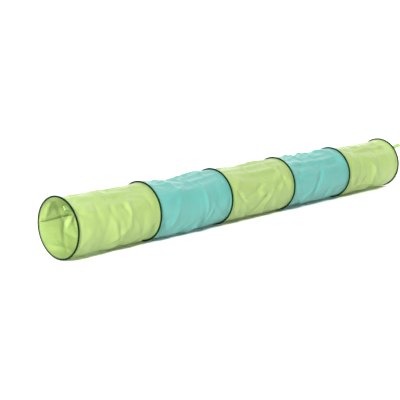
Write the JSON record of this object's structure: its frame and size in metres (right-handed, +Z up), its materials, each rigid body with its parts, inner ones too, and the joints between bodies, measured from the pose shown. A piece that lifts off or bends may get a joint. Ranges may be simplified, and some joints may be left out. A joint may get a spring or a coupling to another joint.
{
  "type": "agility tunnel",
  "caption": "Long soft tube of nylon sections held open by wire hoops in dark bound seams, for small pets to run through; it folds up along its length",
  "frame": {"origin": "on the floor, under the middle of the tunnel", "axes": "+X along the tunnel from its front end to its rear end, +Z up"},
  "size_m": [1.7734, 0.1998, 0.1998],
  "materials": {
    "lime_nylon": "woven nylon taffeta, lime green, satin, lets some light through",
    "turquoise_nylon": "woven nylon taffeta, turquoise, satin, lets some light through",
    "binding_tape": "woven binding tape, very dark green, matte",
    "ribbon": "ribbed ribbon, lime green, matte",
    "spring_steel": "drawn spring-steel wire",
    "sleeve_zinc": "zinc-plated crimped sleeve"
  },
  "bodies": {
    "front_hoop": {"hoop_wire_1": "spring_steel", "crimp_sleeve_1": "sleeve_zinc", "hoop_binding_1": "binding_tape", "fabric_section_1": "lime_nylon"},
    "hoop_2": {"hoop_wire_2": "spring_steel", "crimp_sleeve_2": "sleeve_zinc", "hoop_binding_2": "binding_tape", "fabric_section_2": "turquoise_nylon"},
    "hoop_3": {"hoop_wire_3": "spring_steel", "crimp_sleeve_3": "sleeve_zinc", "hoop_binding_3": "binding_tape", "fabric_section_3": "lime_nylon"},
    "hoop_4": {"hoop_wire_4": "spring_steel", "crimp_sleeve_4": "sleeve_zinc", "hoop_binding_4": "binding_tape", "fabric_section_4": "turquoise_nylon"},
    "hoop_5": {"hoop_wire_5": "spring_steel", "crimp_sleeve_5": "sleeve_zinc", "hoop_binding_5": "binding_tape", "fabric_section_5": "lime_nylon"},
    "rear_hoop": {"hoop_wire_6": "spring_steel", "crimp_sleeve_6": "sleeve_zinc", "hoop_binding_6": "binding_tape"},
    "front_loop": {"front_ribbon_loop": "ribbon"},
    "rear_loop": {"rear_ribbon_loop": "ribbon"}
  },
  "joints": [
    {"name": "fold_section_1", "type": "slide", "parent": "front_hoop", "child": "hoop_2", "axis": [-1, 0, 0], "range_m": [0, 0.33], "deforming": ["fabric_section_1"]},
    {"name": "fold_section_2", "type": "slide", "parent": "hoop_2", "child": "hoop_3", "axis": [-1, 0, 0], "range_m": [0, 0.33], "deforming": ["fabric_section_2"]},
    {"name": "fold_section_3", "type": "slide", "parent": "hoop_3", "child": "hoop_4", "axis": [-1, 0, 0], "range_m": [0, 0.33], "deforming": ["fabric_section_3"]},
    {"name": "fold_section_4", "type": "slide", "parent": "hoop_4", "child": "hoop_5", "axis": [-1, 0, 0], "range_m": [0, 0.33], "deforming": ["fabric_section_4"]},
    {"name": "fold_section_5", "type": "slide", "parent": "hoop_5", "child": "rear_hoop", "axis": [-1, 0, 0], "range_m": [0, 0.33], "deforming": ["fabric_section_5"]},
    {"name": "front_loop_flap", "type": "hinge", "parent": "front_hoop", "child": "front_loop", "pos_m": [-0.8536, -0.06689, 0.16681], "axis": [0, 0.7071, 0.7071], "range_deg": [-100, 65], "stiffness_Nm_per_rad": 0.001},
    {"name": "rear_loop_flap", "type": "hinge", "parent": "rear_hoop", "child": "rear_loop", "pos_m": [0.8536, -0.06689, 0.16681], "axis": [0, -0.7071, -0.7071], "range_deg": [-100, 65], "stiffness_Nm_per_rad": 0.001}
  ]
}
